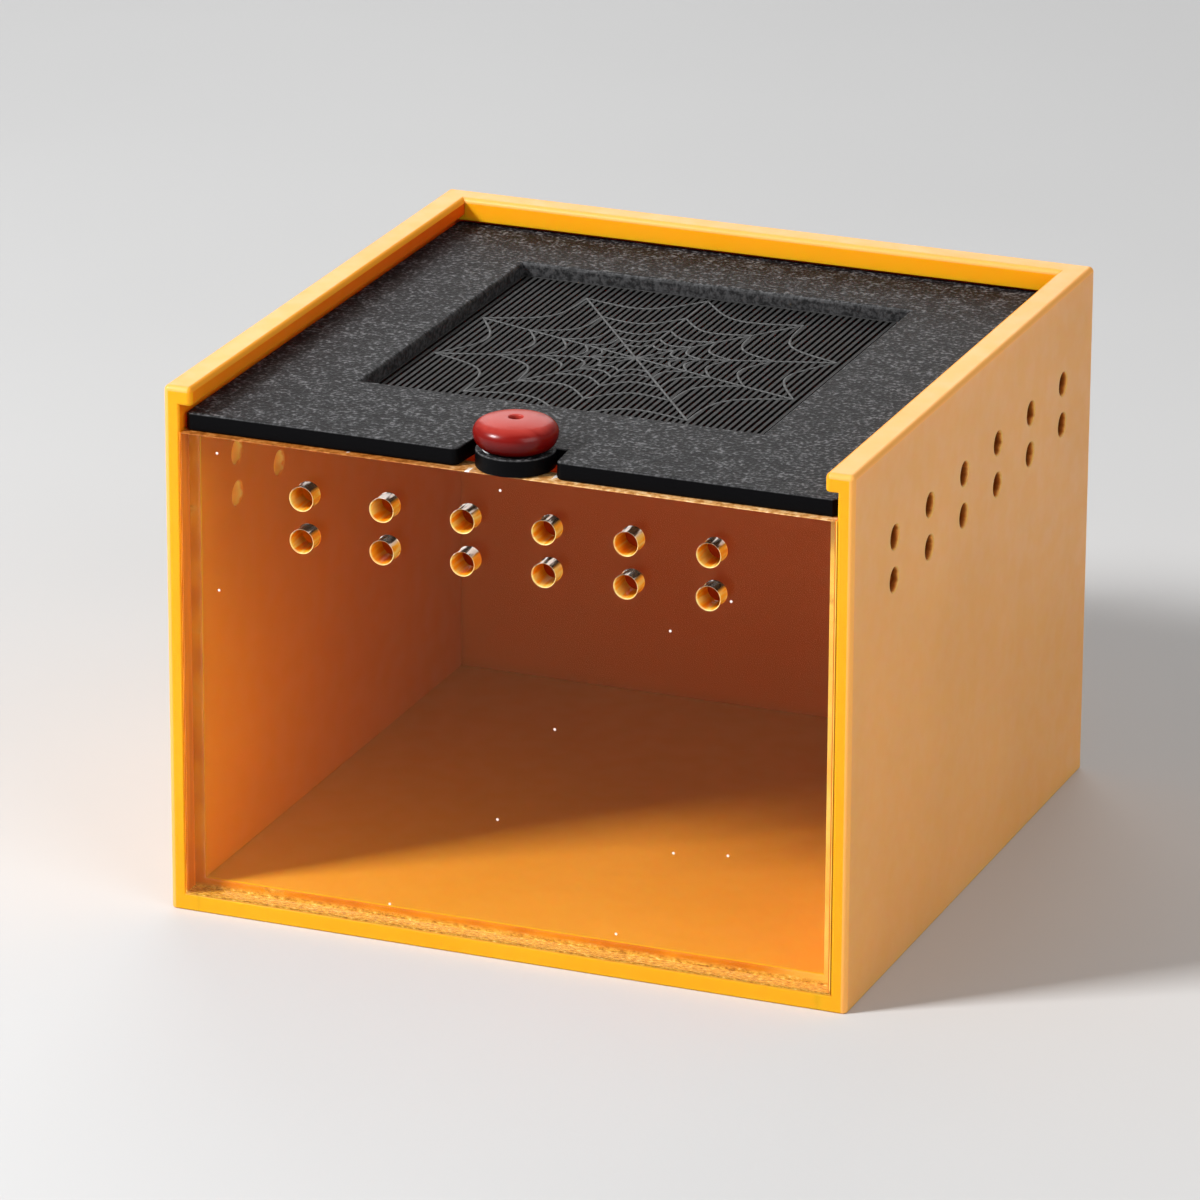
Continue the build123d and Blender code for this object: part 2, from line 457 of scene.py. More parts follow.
def clear_acrylic():
    """Clear sheet with a warm veil in its reflections and a few specks. Light goes straight through."""
    material, tree, shader, place = new_material("clear_acrylic_look")
    shader.inputs["Base Color"].default_value = (1, 0.99, 0.97, 1)
    shader.inputs["Transmission Weight"].default_value = 1
    shader.inputs["IOR"].default_value = 1.49
    shader.inputs["Roughness"].default_value = 0
    haze = noise_at(tree, place, 14, detail=2)
    tint = ramp(tree, haze, [(0.35, (0.9, 0.36, 0.12)), (0.65, (1, 0.44, 0.16))])
    tree.links.new(tint, shader.inputs["Specular Tint"])
    paths = tree.nodes.new("ShaderNodeLightPath").outputs
    either = calculate(tree, "MAXIMUM", paths["Is Shadow Ray"], paths["Is Diffuse Ray"])
    dust = tree.nodes.new("ShaderNodeBsdfDiffuse")
    dust.inputs["Color"].default_value = (1, 0.82, 0.74, 1)
    dusted = mix_shaders(tree, specks(tree, place), shader.outputs["BSDF"], dust.outputs["BSDF"])
    open_air = tree.nodes.new("ShaderNodeBsdfTransparent")
    chosen = mix_shaders(tree, either, dusted, open_air.outputs["BSDF"])
    tree.links.new(chosen, tree.nodes["Material Output"].inputs["Surface"])
    return material


def bore_wall():
    """Wall of a hole in clear sheet that gathers amber light, with painted reflections: amber light from
    below in the lower part, the dark lid above with pale streaks, painted glints, in the upper part, and a
    painted highlight at the front rim.
    """
    material, tree, shader, place = new_material("bore_wall_reflection_look")
    reflected_glow_up_to, reflected_dark_from = 0.64, 0.7
    streaks = noise_at(tree, stretched(tree, place, (1, 0.08, 1)), 1000, detail=2)
    # Painted reflection: amber below, dark above, with pale streaks as painted glints.
    amber = ramp(tree, streaks, [
        (0.38, (0.94, 0.30, 0.006)), (0.5, (1, 0.44, 0.02)), (0.62, (1, 0.64, 0.14))])
    dark = ramp(tree, streaks, [
        (0.46, (0.006, 0.006, 0.006)), (0.53, (0.06, 0.06, 0.06)), (0.6, (0.8, 0.76, 0.72))])
    axes = axes_of(tree, place)
    risen = calculate(tree, "SUBTRACT", axes["Z"], hole_rows[0] - hole_row_pitch / 2)
    rows = calculate(tree, "DIVIDE", risen, hole_row_pitch)
    upper = map_range(tree, calculate(tree, "FRACT", rows), reflected_glow_up_to, reflected_dark_from)
    colour = mix(tree, upper, amber, dark)
    # Painted highlight along the front rim.
    rim = map_range(tree, axes["Y"], window_box[0].y + 0.5 * mm, window_box[0].y + 0.2 * mm)
    painted_rim_highlight = mix(tree, calculate(tree, "MULTIPLY", rim, 0.4), colour, (1, 0.76, 0.46))
    tree.links.new(painted_rim_highlight, shader.inputs["Base Color"])
    shader.inputs["Subsurface Weight"].default_value = 1
    shader.inputs["Subsurface Radius"].default_value = (1.0, 0.9, 0.8)
    shader.inputs["Subsurface Scale"].default_value = 2.5 * mm
    shader.inputs["Roughness"].default_value = 0.2
    shader.inputs["Specular IOR Level"].default_value = 0.15
    bump(tree, shader, [(streaks, 0.3, 0.1 * mm)])
    return material


def seated_edge():
    """Edge of clear sheet that sits in the cement, painted dark amber as a painted reflection of the case
    around it.
    """
    material, tree, shader, place = new_material("seated_edge_look")
    streaks = noise_at(tree, stretched(tree, place, (1, 1, 0.1)), 500, detail=2)
    colour = ramp(tree, streaks, [(0.35, (0.66, 0.15, 0.002)), (0.65, (0.88, 0.25, 0.004))])
    tree.links.new(colour, shader.inputs["Base Color"])
    shader.inputs["Roughness"].default_value = 0.3
    bump(tree, shader, [(streaks, 0.2, 0.1 * mm)])
    return material


def cut_edge():
    """Upper edge of clear sheet: grainy amber, painted light piped from the case, with painted shade on the
    left and painted glints beside the notch.
    """
    material, tree, shader, place = new_material("cut_edge_look")
    shade_up_to, lit_from = -20 * mm, 5 * mm
    glint_middle, glint_offset = 0.9 * mm, 7.2 * mm
    grains = noise_at(tree, place, 700, detail=4, roughness=0.7)
    streaks = noise_at(tree, stretched(tree, place, (1, 0.5, 1)), 160, detail=3, roughness=0.7)
    lit_amber = ramp(tree, grains, [
        (0.36, (0.42, 0.15, 0.03)), (0.5, (0.74, 0.37, 0.12)), (0.64, (0.95, 0.66, 0.34))])
    shaded_amber = ramp(tree, grains, [
        (0.36, (0.22, 0.06, 0.008)), (0.5, (0.42, 0.13, 0.02)), (0.64, (0.6, 0.24, 0.06))])
    across = axes_of(tree, place)["X"]
    # Painted shade: the edge darkens towards the left.
    amber = mix(tree, map_range(tree, across, shade_up_to, lit_from), shaded_amber, lit_amber)
    # Painted glints beside the notch.
    aside = calculate(tree, "ABSOLUTE", calculate(tree, "SUBTRACT", across, glint_middle))
    off_glint = calculate(tree, "ABSOLUTE", calculate(tree, "SUBTRACT", aside, glint_offset))
    beside = map_range(tree, off_glint, 0.8 * mm, 0.3 * mm, 0, 0.2)
    glints = map_range(tree, calculate(tree, "ADD", streaks, beside), 0.67, 0.7)
    colour = mix(tree, glints, amber, (1, 0.97, 0.92))
    tree.links.new(colour, shader.inputs["Base Color"])
    shader.inputs["Roughness"].default_value = 0.15
    bump(tree, shader, [(streaks, 0.3, 0.2 * mm)])
    return material


def golden_cement():
    """Cured cement: smooth up the sides, with painted light that makes it paler on the right, and grainy
    with bubbles along the sill, where its palest grains are painted highlights.
    """
    material, tree, shader, place = new_material("cement_look")
    grains = noise_at(tree, stretched(tree, place, (0.55, 1, 1)), 1900, detail=4, roughness=0.7)
    patches = noise_at(tree, place, 130, detail=2)
    # The palest stop: painted highlights on the grains.
    grainy = ramp(tree, grains, [
        (0.34, (0.36, 0.13, 0.012)), (0.47, (0.66, 0.29, 0.025)), (0.6, (0.90, 0.50, 0.07)),
        (0.7, (1, 0.74, 0.28))])
    amber = ramp(tree, patches, [(0.35, (0.66, 0.17, 0.002)), (0.6, (0.82, 0.26, 0.004))])
    pale = ramp(tree, patches, [(0.35, (0.96, 0.50, 0.06)), (0.6, (1, 0.63, 0.11))])
    axes = axes_of(tree, place)
    # Painted light: paler towards the right jamb.
    lit_right_share = map_range(tree, axes["X"], 0.8 * inner_half_width, inner_half_width)
    smooth = mix(tree, lit_right_share, amber, pale)
    at_sill = map_range(tree, axes["Z"], sill_height + 1.2 * mm, sill_height + 0.5 * mm)
    at_patch = map_range(tree, patches, 0.62, 0.68, 0, 0.6)
    share = calculate(tree, "MAXIMUM", at_sill, at_patch)
    tree.links.new(mix(tree, share, smooth, grainy), shader.inputs["Base Color"])
    shader.inputs["Roughness"].default_value = 0.25
    shader.inputs["IOR"].default_value = 1.46
    shader.inputs["Subsurface Weight"].default_value = 0.3
    shader.inputs["Subsurface Radius"].default_value = (1.0, 0.6, 0.2)
    shader.inputs["Subsurface Scale"].default_value = 0.8 * mm
    relief = calculate(tree, "MULTIPLY", grains, share)
    bump(tree, shader, [(relief, 0.7, 0.15 * mm)])
    return material


def black_plastic(name, side_grain):
    """Black plastic, with a rough grained top and a share of that grain down its sides."""
    material, tree, shader, place = new_material(name)
    height = axes_of(tree, place)["Z"]
    top = map_range(tree, height, lid_top - 0.3 * mm, lid_top - 0.05 * mm, side_grain)
    fine = noise_at(tree, place, 1350, detail=3, roughness=0.6)
    coarse = noise_at(tree, place, 420, detail=2)
    mottled = calculate(tree, "ADD", calculate(tree, "MULTIPLY", fine, 0.75),
                        calculate(tree, "MULTIPLY", coarse, 0.25))
    flecks = ramp(tree, mottled, [
        (0.42, (0.003, 0.003, 0.0035)), (0.50, (0.011, 0.011, 0.0125)), (0.56, (0.050, 0.050, 0.052)),
        (0.63, (0.15, 0.15, 0.155))])
    pale_flecks = ramp(tree, fine, [(0.4, (0.03, 0.03, 0.031)), (0.62, (0.12, 0.12, 0.124))])
    off_top = map_range(tree, height, lid_top - 0.02 * mm, lid_top - 0.08 * mm)
    grained = mix(tree, off_top, flecks, pale_flecks)
    colour = mix(tree, top, (0.002, 0.002, 0.0025), grained)
    tree.links.new(colour, shader.inputs["Base Color"])
    tree.links.new(map_range(tree, top, 0, 1, 0.045, 0.2), shader.inputs["Specular IOR Level"])
    rough = map_range(tree, top, 0, 1, 0.42, 0.62)
    tree.links.new(rough, shader.inputs["Roughness"])
    relief = calculate(tree, "MULTIPLY", fine, top)
    bump(tree, shader, [(coarse, 0.2, 0.05 * mm), (relief, 1.0, 0.3 * mm)])
    return material


def slat_plastic(name, shade):
    """Satin dark grey plastic of the grille and of the web figure, with painted shade that makes it black
    below its top, between the slats.
    """
    material, tree, shader, place = new_material(name)
    clouds = noise_at(tree, place, 900, detail=3)
    dark = (0.8 * shade,) * 3
    pale = (1.2 * shade,) * 3
    height = axes_of(tree, place)["Z"]
    top = map_range(tree, height, slats_top - 0.06 * mm, slats_top - 0.03 * mm)
    face = ramp(tree, clouds, [(0.35, dark), (0.65, pale)])
    # Painted shade: black below the top.
    tree.links.new(mix(tree, top, (0.003, 0.003, 0.003), face), shader.inputs["Base Color"])
    shader.inputs["Specular IOR Level"].default_value = 0.05
    shader.inputs["Roughness"].default_value = 0.6
    bump(tree, shader, [(clouds, 0.25, 0.05 * mm)])
    return material


def red_bead():
    """Glossy red with faint swirls, with painted shade that darkens it towards its foot and painted light
    that makes its top a paler pink.
    """
    material, tree, shader, place = new_material("red_bead_look")
    rise = map_range(tree, axes_of(tree, place)["Z"], bead_box[0].z, bead_box[1].z)
    swirl = noise_at(tree, place, 150, detail=2, distortion=1.0)
    # Painted shade low down, painted light at the top.
    colour = ramp(tree, calculate(tree, "ADD", rise, wobble(tree, swirl, 0.35)), [
        (0.05, (0.05, 0.001, 0.0008)), (0.45, (0.12, 0.0015, 0.001)), (0.75, (0.20, 0.004, 0.002)),
        (0.95, (0.45, 0.045, 0.033))])
    tree.links.new(colour, shader.inputs["Base Color"])
    shader.inputs["Roughness"].default_value = 0.45
    shader.inputs["Specular IOR Level"].default_value = 0
    tree.links.new(map_range(tree, rise, 0.2, 0.42, 0.1, 0.6), shader.inputs["Coat Weight"])
    shader.inputs["Coat IOR"].default_value = 1.45
    shader.inputs["Coat Roughness"].default_value = 0.27
    return material


def clear_glue():
    """Clear glossy glue that shows the black under it, with painted glints as whitish patches on the left.
    """
    material, tree, shader, place = new_material("clear_glue_look")
    glint_clouds = noise_at(tree, place, 260, detail=3)
    left = map_range(tree, axes_of(tree, place)["X"], -2.0 * mm, -4.0 * mm)
    # Painted glints: whitish patches on the left.
    white = ramp(tree, glint_clouds, [(0.44, (0.01, 0.01, 0.011)), (0.54, (0.8, 0.81, 0.83))])
    tree.links.new(mix(tree, left, (0.008, 0.008, 0.009), white), shader.inputs["Base Color"])
    shader.inputs["Roughness"].default_value = 0.08
    shader.inputs["IOR"].default_value = 1.46
    shader.inputs["Specular IOR Level"].default_value = 0.25
    bump(tree, shader, [(glint_clouds, 0.3, 0.08 * mm)])
    return material


def pale_floor():
    """Matt pale paper."""
    material, tree, shader, place = new_material("pale_floor")
    clouds = noise_at(tree, place, 6, detail=2)
    colour = ramp(tree, clouds, [(0.3, (0.59, 0.59, 0.59)), (0.7, (0.61, 0.61, 0.61))])
    tree.links.new(colour, shader.inputs["Base Color"])
    shader.inputs["Roughness"].default_value = 0.8
    return material


def paint(piece, number, wanted):
    """Gives the faces that the wanted function picks another of the piece's materials."""
    for face in piece.data.polygons:
        if wanted(face):
            face.material_index = number


def dress(piece, materials, body, slot, *nodes):
    """Gives a piece its materials and its body, and hides the nodes that it stands for. The slot is not
    used.
    """
    piece.data.materials.clear()
    for material in materials:
        piece.data.materials.append(material)
    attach(piece, body)
    if nodes:
        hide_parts(*nodes)


# Case


def case_form():
    """Both side walls and the back wall as one form, with soft edges, groove, rebate and holes."""
    plan = [
        (-half_width, -half_depth), (-inner_half_width, -half_depth), (-inner_half_width, inner_back),
        (inner_half_width, inner_back), (inner_half_width, -half_depth), (half_width, -half_depth),
        (half_width, half_depth), (-half_width, half_depth),
    ]
    form = prism("case_form", plan, 0, case_height)

    # A loop inside the groove's height, so that only the lip's share of the mouth is rounded
    bm = bmesh.new()
    bm.from_mesh(form.data)
    groove_middle = (ledge_height + lip_underside) / 2
    bmesh.ops.bisect_plane(
        bm, geom=[*bm.verts, *bm.edges, *bm.faces], plane_co=(0, 0, groove_middle), plane_no=(0, 0, 1)
    )
    bm.to_mesh(form.data)
    bm.free()

    def rim_or_corner(edge):
        place = middle(edge)
        if is_level(edge):
            return near(place.z, case_height)
        outer = near(abs(place.x), half_width) and near(abs(place.y), half_depth)
        mouth = near(abs(place.x), inner_half_width) and near(place.y, -half_depth)
        return outer or (mouth and place.z > groove_middle)

    soften(form, rim_or_corner, rim_radius, 6)

    def outer_foot(edge):
        place = middle(edge)
        at_foot = is_level(edge) and near(place.z, 0)
        return at_foot and (abs(place.x) > half_width - mm or abs(place.y) > half_depth - mm)

    soften(form, outer_foot, foot_edge, 3)

    before = -half_depth - reach
    back_ceiling = lip_underside - back_lip_drop
    section = [(before, ledge_height), (groove_back, ledge_height), (groove_back, back_ceiling),
               (inner_back, back_ceiling), (inner_back, lip_underside), (before, lip_underside)]
    groove = prism("groove", section, -slot_half_width, slot_half_width, lying_along_x)
    combine(form, groove, "DIFFERENCE")
    rebate = block("rebate", (-slot_half_width, before, sill_height),
                   (slot_half_width, rebate_back, groove_middle))
    combine(form, rebate, "DIFFERENCE")

    def newly_cut(edge):
        place = middle(edge)
        hidden = place.z < sill_height + sliver and abs(place.x) < inner_half_width + sliver
        under_back_lip = near(place.y, inner_back) and near(place.z, back_ceiling)
        return is_sharp(edge) and not hidden and not under_back_lip and place.z > 2 * foot_edge

    soften(form, newly_cut, soft_edge, 4)

    profile = bore_profile(
        [(-half_width, -inner_half_width), (inner_half_width, half_width)], side_hole_radius, hole_flare)
    places = [(0, along, height) for along, height in hole_grid(side_hole_pitch, side_hole_shift)]
    combine(form, turned("side_bores", profile, places, lying_along_x), "DIFFERENCE")
    return form


def on_side(face, axis, plane):
    """True for a face square to an axis, in a plane this far from the middle."""
    return abs(face.normal[axis]) > flat_on and near(abs(face.center[axis]), plane)


def in_side_bore(face):
    """True for a face of the wall of an air hole in a side wall."""
    low = hole_rows[0] - hole_row_pitch / 2
    high = hole_rows[1] + hole_row_pitch / 2
    at_hole = low < face.center.z < high and abs(face.center.y) < half_depth - 2 * sheet
    return at_hole and abs(face.normal.x) < flat_on


def is_rim(face):
    """True for the top of the case and the inner rounding of its rim at the back."""
    at_top = face.normal.z > tilted and face.center.z > case_height - rim_radius
    return at_top and (face.normal.z > nearly_flat_on or abs(face.normal.x) < turned_aside)


def is_corner(face):
    """True for the roundings of the outer edges, at the top and up the corners."""
    beyond_x = abs(face.center.x) > half_width - rim_radius and abs(face.normal.x) < flat_on
    beyond_y = abs(face.center.y) > half_depth - rim_radius and abs(face.normal.y) < flat_on
    above = face.center.z > case_height - rim_radius and face.normal.z < flat_on
    return (beyond_x and beyond_y) or (beyond_x and above) or (beyond_y and above)


def is_inner_rounding(face):
    """True for the rounding of the side rims towards the lid."""
    above = face.center.z > case_height - rim_radius and tilted < face.normal.z < nearly_flat_on
    inward = abs(face.center.x) < inner_half_width + rim_radius
    return above and inward and abs(face.normal.x) > turned_aside


def in_groove(face):
    """True for the walls of the groove and the lower edge of the lip, not for the back's inner face."""
    within = abs(face.center.x) < slot_half_width + sliver and abs(face.center.y) < half_depth - mm
    off_back = not near(face.center.y, inner_back)
    return within and off_back and ledge_height < face.center.z < lip_underside + soft_edge


def make_walls(cut, outer, inner, rim, corner, turn_in, bore):
    """The two side walls and the back wall, each taken from the one form."""
    form = case_form()
    side, end, top = half_width + reach, half_depth + reach, case_height + reach
    joint = inner_half_width
    spaces = {
        "left_side_wall": ((-side, -end, -reach), (-joint - sliver, end, top)),
        "right_side_wall": ((joint + sliver, -end, -reach), (side, end, top)),
        "back_wall": ((-joint + sliver, 0, floor_box[1].z), (joint - sliver, end, top)),
    }
    for node, (low, high) in spaces.items():
        wall = form.copy()
        wall.data = form.data.copy()
        wall.name = wall.data.name = node + "_sheet"
        bpy.context.scene.collection.objects.link(wall)
        combine(wall, block("space", low, high), "INTERSECT")
        finish_shading(wall)
        looks = [cut, outer, inner, rim, corner, turn_in, bore]
        dress(wall, looks, "case", "orange_acrylic", node)
        if node == "back_wall":
            axis, outside, inside = 1, half_depth, inner_back
        else:
            axis, outside, inside = 0, half_width, inner_half_width
        # Outer faces: the paler copy, painted sheen.
        paint(wall, 1, lambda face: on_side(face, axis, outside))
        # Inner faces below the ledge and the groove's faces: the darker copy, painted shade.
        paint(wall, 2, lambda face: on_side(face, axis, inside) and face.center.z < ledge_height)
        paint(wall, 2, in_groove)
        # Top rims: the paler copy, painted sheen.
        paint(wall, 3, is_rim)
        # Outer roundings: the paler copy, a painted highlight.
        paint(wall, 4, is_corner)
        paint(wall, 5, is_inner_rounding)
        if node != "back_wall":
            # Air hole walls: painted shade in their depth and painted light near the inside.
            paint(wall, 6, in_side_bore)
    bpy.data.objects.remove(form)


def make_floor(cut, outer, shaded_tread):
    """The floor between the side walls, with the step at its front that the window stands on."""
    front, top = -half_depth, floor_box[1].z
    profile = [(front, 0), (half_depth, 0), (half_depth, top), (rebate_back, top),
               (rebate_back, sill_height), (front, sill_height)]
    floor_sheet = prism("floor_panel_sheet", profile, -inner_half_width, inner_half_width, lying_along_x)

    def runs_across(edge):
        return is_sharp(edge) and is_level(edge) and near(edge.verts[0].co.y, edge.verts[1].co.y)

    def front_step(edge):
        return runs_across(edge) and middle(edge).z > sill_height - sliver and middle(edge).y < 0

    soften(floor_sheet, lambda edge: runs_across(edge) and near(middle(edge).z, 0), foot_edge, 3)
    soften(floor_sheet, front_step, soft_edge, 4)
    finish_shading(floor_sheet)
    dress(floor_sheet, [cut, outer, shaded_tread], "case", "orange_acrylic", "floor_panel")
    # The floor's underside: the paler copy, painted sheen.
    paint(floor_sheet, 1, lambda face: near(face.center.z, 0))
    # The floor's top: the copy that darkens towards the back, painted shade.
    paint(floor_sheet, 2, lambda face: near(face.center.z, top))


def make_window(clear, bore, edge, seat, cement):
    """The clear window, with crisp edges and two rows of holes."""
    window = block("front_window_sheet", window_box[0], window_box[1])
    soften(window, is_sharp, glass_edge, 2)
    profile = bore_profile([(window_box[0].y, window_box[1].y)], window_hole_radius, glass_edge)
    places = [(along, 0, height) for along, height in hole_grid(window_hole_pitch)]
    combine(window, turned("window_bores", profile, places, lying_along_y, steps=64), "DIFFERENCE")
    finish_shading(window)
    dress(window, [clear, bore, edge, seat, cement], "case", "clear_acrylic", "front_window")
    highest_hole = hole_rows[1] + window_hole_radius + mm
    lowest_hole = hole_rows[0] - window_hole_radius - mm
    side = window_box[1].x - mm

    def at_hole(face):
        return lowest_hole < face.center.z < highest_hole and abs(face.center.x) < side

    # Hole walls: painted reflection and a painted highlight.
    paint(window, 1, lambda face: abs(face.normal.y) < flat_on and at_hole(face))
    # Top edge: amber with painted shade and painted glints.
    paint(window, 2, lambda face: face.normal.z > tilted and face.center.z > ledge_height - mm)
    # Side edges: dark amber, a painted reflection of the case.
    paint(window, 3, lambda face: abs(face.normal.x) > tilted and abs(face.center.x) > side)
    paint(window, 4, lambda face: face.normal.z < -tilted and face.center.z < sheet)


def make_cement(material):
    """Lumpy film of cement, under the window and behind its margin, along sill and jambs."""
    cell = 0.35 * mm
    lump_size = 0.9 * mm
    gap = window_box[0].z - cement_box[0].z
    rim_share, thin_share, lump_share = 0.7, 0.5, 0.45
    bm = bmesh.new()

    def film(start, along, across, thick, length, width):
        """One strip of film, as a closed sheet whose free side bulges by noise."""
        columns = round(length / cell)
        rows = max(2, round(width / cell))
        sides = []
        for level in (0, 1):
            grid = []
            for column in range(columns + 1):
                grid.append([])
                for row in range(rows + 1):
                    point = start + along * (length * column / columns) + across * (width * row / rows)
                    lump = 0.5 + 0.5 * noise.noise(point / lump_size)
                    at_rim = column in (0, columns) or row in (0, rows)
                    depth = gap * (rim_share if at_rim else thin_share + lump_share * lump)
                    grid[-1].append(bm.verts.new(point + thick * depth * level))
            sides.append(grid)
        low, high = sides
        for column in range(columns):
            after = column + 1
            for row in range(rows):
                above = row + 1
                bm.faces.new((low[column][row], low[column][above], low[after][above], low[after][row]))
                bm.faces.new((high[column][row], high[after][row], high[after][above], high[column][above]))
            for row in (0, rows):
                bm.faces.new((low[column][row], low[after][row], high[after][row], high[column][row]))
        for column in (0, columns):
            for row in range(rows):
                above = row + 1
                bm.faces.new((low[column][row], low[column][above], high[column][above], high[column][row]))

    x, y, z = Vector((1, 0, 0)), Vector((0, 1, 0)), Vector((0, 0, 1))
    front, back = cement_box[0].y, cement_box[1].y
    seat_depth = back - front
    clear = 0.02 * mm
    run = 2 * slot_half_width
    rise = ledge_height - sill_height
    film(Vector((-slot_half_width, front, sill_height)) + z * clear, x, y, z, run, seat_depth)
    film(Vector((-slot_half_width, back - clear, sill_height)), x, z, -y, run, sheet - sill_height)
    margin = slot_half_width - inner_half_width
    for side in (-1, 1):
        corner = Vector((side * slot_half_width, back - clear, sheet))
        film(corner, z, -x * side, -y, rise - sheet + sill_height, margin)
        edge = Vector((side * (slot_half_width - clear), front, sill_height))
        film(edge, z, y, -x * side, rise, seat_depth)
    cement = piece_of("window_cement_line", bm)
    finish_shading(cement, sharp=60)
    dress(cement, [material], "case", "cement", "window_cement")


# Lid


def lid_outline():
    """Plan of the lid: corners cut off, a notch in the front and a round tab in the notch."""
    notch_floor = lid_front + notch_depth
    start = pi - asin((notch_floor - tab_centre) / tab_radius)
    sweep = 2 * (1.5 * pi - start)
    steps = 56
    tab = []
    for step in range(steps + 1):
        angle = start + sweep * step / steps
        tab.append((tab_radius * cos(angle), tab_centre + tab_radius * sin(angle)))
    side, front, back, cut = lid_half_width, lid_front, lid_back, lid_corner
    return [
        (-side, front + cut), (-side + cut, front), (-notch_front, front), (-notch_back, notch_floor),
        *tab,
        (notch_back, notch_floor), (notch_front, front), (side - cut, front), (side, front + cut),
        (side, back - cut), (side - cut, back), (-side + cut, back), (-side, back - cut),
    ]


def at_vent(place):
    """True for a place in the vent opening or on its rim."""
    beside = abs(place.x - vent_centre.x) < vent_half_width + mm
    return beside and abs(place.y - vent_centre.y) < vent_half_length + mm


def make_lid(material, vent_wall):
    """The lid, with its notch, tab, vent opening and the recess that holds the grille."""
    notch_corner = 1.1 * mm
    rim_edge = 0.35 * mm
    vent_edge = 0.6 * mm
    seat_gap = 0.1 * mm
    lid = prism("lid_panel_sheet", lid_outline(), lid_bottom, lid_top)

    def at_notch(edge):
        place = middle(edge)
        return not is_level(edge) and near(place.y, lid_front) and near(abs(place.x), notch_front)

    soften(lid, at_notch, notch_corner, 5)
    soften(lid, lambda edge: is_sharp(edge) and is_level(edge), rim_edge, 3)

    vent_low = vent_centre + Vector((-vent_half_width, -vent_half_length, lid_bottom - reach))
    vent_high = vent_centre + Vector((vent_half_width, vent_half_length, lid_top + reach))
    combine(lid, block("vent", vent_low, vent_high), "DIFFERENCE")
    seat_low = Vector((slats_box[0].x - seat_gap, slats_box[0].y - seat_gap, lid_bottom - reach))
    seat_high = Vector((slats_box[1].x + seat_gap, slats_box[1].y + seat_gap, slats_top))
    combine(lid, block("grille_seat", seat_low, seat_high), "DIFFERENCE")

    def vent_rim(edge):
        place = middle(edge)
        return is_sharp(edge) and at_vent(place) and near(place.z, lid_top)

    soften(lid, vent_rim, vent_edge, 5)
    finish_shading(lid)
    dress(lid, [material, vent_wall], "lid", "black_plastic", "lid_panel")
    paint(lid, 1, lambda face: at_vent(face.center) and abs(face.normal.z) < flat_on)


def make_web(material):
    """The web figure: straight spokes and sagging rings, as low rounded lines on the slats."""
    line_radius = 0.3 * mm
    line_rise = 0.08 * mm
    bay_steps = 10
    curve = bpy.data.curves.new("spider_web_lines", "CURVE")
    curve.dimensions = "3D"
    curve.bevel_depth = line_radius
    curve.bevel_resolution = 2
    curve.use_fill_caps = True
    height = slats_top + line_rise - line_radius

    def line(points, cyclic):
        spline = curve.splines.new("POLY")
        spline.points.add(len(points) - 1)
        for knot, (across, along) in zip(spline.points, points):
            knot.co = (across, along, height, 1)
        spline.use_cyclic_u = cyclic

    def web_point(radius, angle):
        return (vent_centre.x + web_shift + radius * sin(angle), vent_centre.y + radius * cos(angle))

    bay = 2 * pi / web_spokes
    for ring in range(web_rings):
        radius = web_radius * web_ring_ratio**ring
        points = []
        for step in range(web_spokes * bay_steps):
            share = step % bay_steps / bay_steps
            sag = radius * web_sag_share * 4 * share * (1 - share)
            points.append(web_point(radius - sag, step * bay / bay_steps))
        line(points, True)
    for spoke in range(web_spokes // 2):
        line([web_point(web_radius, spoke * bay), web_point(-web_radius, spoke * bay)], False)
    maker = bpy.data.objects.new("web_maker", curve)
    bpy.context.scene.collection.objects.link(maker)
    graph = bpy.context.evaluated_depsgraph_get()
    mesh = bpy.data.meshes.new_from_object(maker.evaluated_get(graph))
    bpy.data.objects.remove(maker)
    web = bpy.data.objects.new("spider_web_lines", mesh)
    bpy.context.scene.collection.objects.link(web)
    web.data.shade_smooth()
    web.data.set_sharp_from_angle(angle=radians(50))
    dress(web, [material], "lid", "web_line", "spider_web")


def make_bead(material):
    """The bead: round side, domed top and a stringing hole with rounded rims."""
    low, high = bead_box
    sink = 0.1 * mm
    waist_share = 0.52
    side = 2.45 * mm
    bore = 1.15 * mm
    bore_round = 0.25 * mm
    base = low.z - sink
    waist = low.z + waist_share * (high.z - low.z)
    flat = (high.x - low.x) / 2 - side
    dome_start = radians(74)
    side_steps = 28
    dome_steps = 14
    bore_steps = 6

    # The dome runs on from the side at one slope and levels out at the hole
    run = flat + side * cos(dome_start) - bore - bore_round
    slope_per_height = cos(dome_start) / (side * sin(dome_start))
    upper = (high.z - waist) / (sin(dome_start) + slope_per_height * run / 2)
    dome = upper * slope_per_height * run / 2
    profile = []
    for step in range(side_steps + 1):
        angle = -pi / 2 * (1 - step / side_steps)
        profile.append((flat + side * cos(angle), waist + (waist - base) * sin(angle)))
    for step in range(1, side_steps + 1):
        angle = dome_start * step / side_steps
        profile.append((flat + side * cos(angle), waist + upper * sin(angle)))
    start, height = profile[-1]
    for step in range(1, dome_steps):
        share = step / dome_steps
        profile.append((start - run * share, height + dome * (1 - (1 - share) ** 2)))
    for step in range(bore_steps + 1):
        angle = pi / 2 * step / bore_steps
        profile.append((bore + bore_round - bore_round * sin(angle),
                        high.z - bore_round + bore_round * cos(angle)))
    for step in range(bore_steps + 1):
        angle = pi / 2 * (1 - step / bore_steps)
        profile.append((bore + bore_round - bore_round * sin(angle),
                        base + bore_round - bore_round * cos(angle)))
    bead = turned("knob_bead_gloss", profile, [(0, tab_centre, 0)], steps=112, closed=True)
    bead.data.shade_smooth()
    dress(bead, [material], "lid", "red_bead", "knob_bead")


